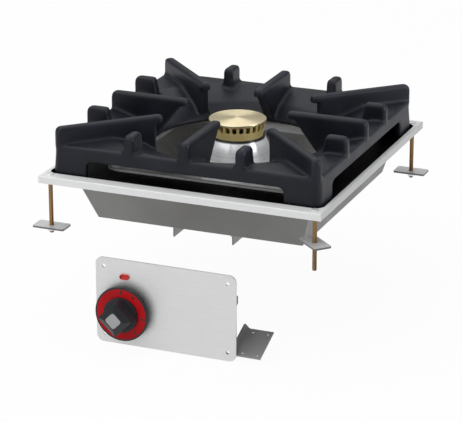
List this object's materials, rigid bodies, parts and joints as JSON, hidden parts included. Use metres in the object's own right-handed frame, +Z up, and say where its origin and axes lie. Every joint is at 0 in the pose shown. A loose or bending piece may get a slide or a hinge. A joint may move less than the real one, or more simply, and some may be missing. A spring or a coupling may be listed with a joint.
{
  "type": "drop-in gas hob",
  "caption": "Drop-in gas hob: cast pan support over a brass burner in a folded steel spill basin, clamped into a worktop by long studs, with a separate control panel and push-turn knob.",
  "frame": {"origin": "middle of the rim, on the worktop plane that its folded skirt stands on", "axes": "+X to the cook's right, +Y away from the cook, +Z up"},
  "size_m": [0.4234, 0.493, 0.272],
  "materials": {
    "satin_stainless": "fine satin grain",
    "basin_steel": "plain rolled sheet",
    "yellow_passivated_steel": "yellow passivated thread",
    "clamp_steel": "zinc plated",
    "bracket_steel": "folded sheet",
    "screw_steel": "bright turned",
    "black_enamel": "satin black enamel on a sand casting",
    "bare_iron": "as cast",
    "crown_brass": "turned and milled",
    "cap_brass": "face turned",
    "polished_steel": "polished",
    "fitting_brass": "machined",
    "magnet_can": "turned",
    "gas_pipe": "dull grey",
    "black_plastic": "moulded, satin",
    "red_dial": "printed disc",
    "grey_inlay": "satin"
  },
  "bodies": {
    "hob_and_panel": {"rim_frame": "satin_stainless", "control_panel": "satin_stainless", "spill_basin": "basin_steel", "burner_carrier": "basin_steel", "clamp_studs": "yellow_passivated_steel", "panel_bracket": "bracket_steel", "jet_bracket": "bracket_steel", "pilot_bracket": "bracket_steel", "burner_screws": "screw_steel", "tap_screws": "screw_steel", "thermocouple": "screw_steel", "mixing_tube": "bare_iron", "burner_foot": "bare_iron", "burner_cup": "bare_iron", "burner_shroud": "polished_steel", "injector": "fitting_brass", "injector_holder": "fitting_brass", "pilot_burner": "fitting_brass", "tap_bonnet": "fitting_brass", "tap_body": "fitting_brass", "magnet_unit": "magnet_can", "supply_pipe": "gas_pipe", "coupling_nut": "gas_pipe"},
    "pan_support": {"pan_support": "black_enamel"},
    "burner_crown": {"burner_crown": "crown_brass"},
    "burner_cap": {"burner_cap": "cap_brass"},
    "air_shutter": {"air_shutter": "bracket_steel"},
    "push_rod": {"push_pin": "screw_steel"},
    "knob": {"tap_spindle": "screw_steel", "knob_skirt": "black_plastic", "dial_ring": "red_dial", "knob_grip": "black_plastic", "knob_inlay": "grey_inlay"},
    "clamp_nut_front_left": {"clamp_nut_front_left": "clamp_steel"},
    "clamp_plate_front_left": {"clamp_plate_front_left": "clamp_steel"},
    "clamp_nut_front_right": {"clamp_nut_front_right": "clamp_steel"},
    "clamp_plate_front_right": {"clamp_plate_front_right": "clamp_steel"},
    "clamp_nut_back_right": {"clamp_nut_back_right": "clamp_steel"},
    "clamp_plate_back_right": {"clamp_plate_back_right": "clamp_steel"},
    "clamp_nut_back_left": {"clamp_nut_back_left": "clamp_steel"},
    "clamp_plate_back_left": {"clamp_plate_back_left": "clamp_steel"}
  },
  "joints": [
    {"name": "pan_support_lift", "type": "slide", "parent": "hob_and_panel", "child": "pan_support", "axis": [0, 0, 1], "range_m": [0, 0.12]},
    {"name": "crown_lift", "type": "slide", "parent": "hob_and_panel", "child": "burner_crown", "axis": [0, 0, 1], "range_m": [0, 0.08]},
    {"name": "cap_lift", "type": "slide", "parent": "burner_crown", "child": "burner_cap", "axis": [0, 0, 1], "range_m": [0, 0.04]},
    {"name": "air_shutter_slide", "type": "slide", "parent": "hob_and_panel", "child": "air_shutter", "axis": [0, 0, 1], "range_m": [-0.005, 0.006]},
    {"name": "knob_push", "type": "slide", "parent": "hob_and_panel", "child": "push_rod", "axis": [0, 1, 0], "range_m": [0, 0.004], "stiffness_N_per_m": 1200, "springref_m": -0.003},
    {"name": "knob_turn", "type": "hinge", "parent": "push_rod", "child": "knob", "pos_m": [-0.062, -0.241, -0.152], "axis": [0, -1, 0], "range_deg": [0, 180]},
    {"name": "clamp_height_front_left", "type": "slide", "parent": "hob_and_panel", "child": "clamp_nut_front_left", "axis": [0, 0, 1], "range_m": [-0.003, 0.035]},
    {"name": "clamp_swivel_front_left", "type": "hinge", "parent": "clamp_nut_front_left", "child": "clamp_plate_front_left", "pos_m": [-0.188, -0.2005, -0.064], "axis": [0, 0, 1], "continuous": true},
    {"name": "clamp_height_front_right", "type": "slide", "parent": "hob_and_panel", "child": "clamp_nut_front_right", "axis": [0, 0, 1], "range_m": [-0.031, 0.007]},
    {"name": "clamp_swivel_front_right", "type": "hinge", "parent": "clamp_nut_front_right", "child": "clamp_plate_front_right", "pos_m": [0.188, -0.2005, -0.036], "axis": [0, 0, 1], "continuous": true},
    {"name": "clamp_height_back_right", "type": "slide", "parent": "hob_and_panel", "child": "clamp_nut_back_right", "axis": [0, 0, 1], "range_m": [-0.003, 0.035]},
    {"name": "clamp_swivel_back_right", "type": "hinge", "parent": "clamp_nut_back_right", "child": "clamp_plate_back_right", "pos_m": [0.188, 0.2005, -0.064], "axis": [0, 0, 1], "continuous": true},
    {"name": "clamp_height_back_left", "type": "slide", "parent": "hob_and_panel", "child": "clamp_nut_back_left", "axis": [0, 0, 1], "range_m": [-0.003, 0.035]},
    {"name": "clamp_swivel_back_left", "type": "hinge", "parent": "clamp_nut_back_left", "child": "clamp_plate_back_left", "pos_m": [-0.188, 0.2005, -0.064], "axis": [0, 0, 1], "continuous": true}
  ]
}
